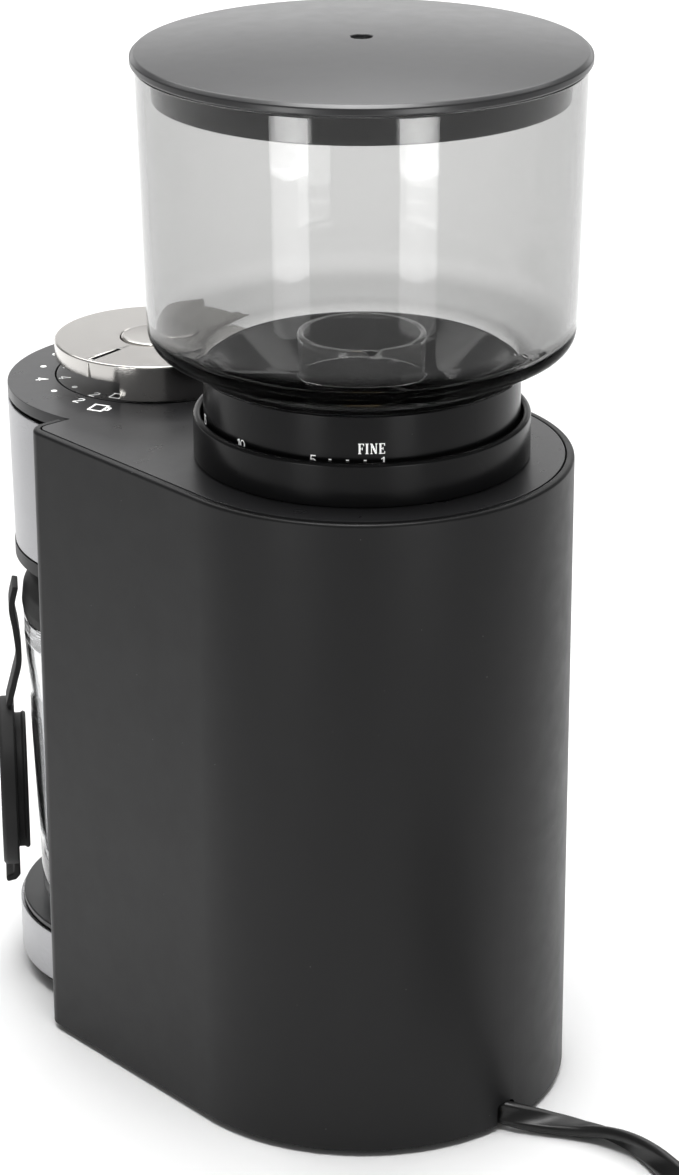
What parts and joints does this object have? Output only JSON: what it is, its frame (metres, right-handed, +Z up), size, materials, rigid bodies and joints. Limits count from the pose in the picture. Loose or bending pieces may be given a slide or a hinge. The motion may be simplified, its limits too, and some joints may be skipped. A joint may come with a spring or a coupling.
{
  "type": "burr coffee grinder",
  "caption": "Countertop conical-burr coffee grinder with a smoke-clear bean hopper, timer dial, removable grounds container and flat twin mains cord.",
  "frame": {"origin": "on the standing surface, under the middle of the box of the grinder without its cord", "axes": "+Z up; -Y is the front with the dial and container; +X is to the right of someone standing in front of the grinder and looking at it (along +Y), so the width runs along X"},
  "size_m": [0.1126, 0.3324, 0.2734],
  "materials": {
    "black_plastic": "fine-textured black moulded plastic with a satin sheen",
    "gloss_black": "polished black plastic",
    "panel_grey": "satin charcoal plastic, slightly reflective",
    "smoke_clear": "light grey smoke-tinted clear plastic, polished",
    "satin_nickel": "satin warm nickel-plated metal with polished sides",
    "brushed_steel": "brushed stainless steel",
    "burr_steel": "machined hardened steel",
    "black_rubber": "matt black rubber or soft PVC",
    "white_plastic": "off-white engineering plastic",
    "board_green": "green circuit board laminate",
    "brass": "plain brass"
  },
  "bodies": {
    "housing": {"base_band": "brushed_steel", "base_plate": "black_plastic", "base_screw_1": "brushed_steel", "base_screw_2": "brushed_steel", "base_screw_3": "brushed_steel", "base_screw_4": "brushed_steel", "body_shell": "black_plastic", "chamber_gasket": "black_rubber", "collar": "black_plastic", "control_board": "board_green", "cord": "black_rubber", "cord_coil": "black_rubber", "foot_1": "black_rubber", "foot_2": "black_rubber", "foot_3": "black_rubber", "foot_4": "black_rubber", "front_frame": "black_plastic", "gearbox_cover": "white_plastic", "grinding_chamber": "white_plastic", "head_band": "brushed_steel", "hopper_switch": "black_plastic", "label_disc": "panel_grey", "motor_can": "brushed_steel", "motor_end_cap": "white_plastic", "motor_mount": "brushed_steel", "outlet_chute": "white_plastic", "platform_mat": "panel_grey", "plug_blade_1": "brass", "plug_blade_2": "brass", "plug_body": "black_rubber", "power_board": "board_green", "rotary_switch": "black_plastic", "shaft_bearing_lower": "brushed_steel", "shaft_bearing_upper": "brushed_steel", "start_switch": "black_plastic", "strain_relief": "black_rubber", "top_panel": "panel_grey"},
    "burr_drive": {"burr_shaft": "brushed_steel", "drive_gear": "white_plastic", "lower_burr": "burr_steel", "impeller": "white_plastic", "burr_nut": "brass"},
    "motor_drive": {"motor_rotor": "brushed_steel", "motor_pinion": "brass"},
    "adjuster": {"adjusting_ring": "black_plastic", "upper_burr_carrier": "gloss_black", "upper_burr": "burr_steel", "bean_guard": "smoke_clear"},
    "hopper_body": {"hopper": "smoke_clear"},
    "hopper_cover": {"hopper_lid": "panel_grey"},
    "control_dial": {"dial": "satin_nickel", "dial_shaft": "black_plastic"},
    "dial_button": {"start_button": "satin_nickel"},
    "interlock_pin": {"switch_plunger": "white_plastic"},
    "jar": {"container": "smoke_clear", "container_ring": "black_rubber"},
    "jar_cap": {"container_lid": "black_rubber", "lid_strap": "black_rubber"}
  },
  "joints": [
    {"name": "burr_spin", "type": "hinge", "parent": "housing", "child": "burr_drive", "pos_m": [0, 0.036, 0.14], "axis": [0, 0, 1], "continuous": true},
    {"name": "motor_spin", "type": "hinge", "parent": "housing", "child": "motor_drive", "pos_m": [0, 0.058, 0.06], "axis": [0, 0, 1], "continuous": true},
    {"name": "grind_adjust", "type": "hinge", "parent": "housing", "child": "adjuster", "pos_m": [0, 0.036, 0.181], "axis": [0, 0, 1], "range_deg": [-43, 43]},
    {"name": "hopper_lift", "type": "slide", "parent": "adjuster", "child": "hopper_body", "axis": [0, 0, 1], "range_m": [0, 0.06]},
    {"name": "hopper_lid_lift", "type": "slide", "parent": "hopper_body", "child": "hopper_cover", "axis": [0, 0, 1], "range_m": [0, 0.05]},
    {"name": "dial_turn", "type": "hinge", "parent": "housing", "child": "control_dial", "pos_m": [0, -0.0465, 0.1774], "axis": [0, 0, 1], "range_deg": [-200, 0]},
    {"name": "start_press", "type": "slide", "parent": "control_dial", "child": "dial_button", "axis": [0, 0, -1], "range_m": [0, 0.0008], "stiffness_N_per_m": 900},
    {"name": "interlock_press", "type": "slide", "parent": "housing", "child": "interlock_pin", "axis": [0, 0, -1], "range_m": [0, 0.001], "stiffness_N_per_m": 300},
    {"name": "container_out", "type": "slide", "parent": "housing", "child": "jar", "axis": [0, -1, 0], "range_m": [0, 0.11]},
    {"name": "container_lid_swing", "type": "hinge", "parent": "jar", "child": "jar_cap", "pos_m": [0.03342, -0.0674, 0.112], "axis": [-0.5736, -0.8192, 0], "range_deg": [0, 100]}
  ],
  "couplings": [
    {"joint": "motor_spin", "follows": "burr_spin", "ratio": -3.4}
  ]
}
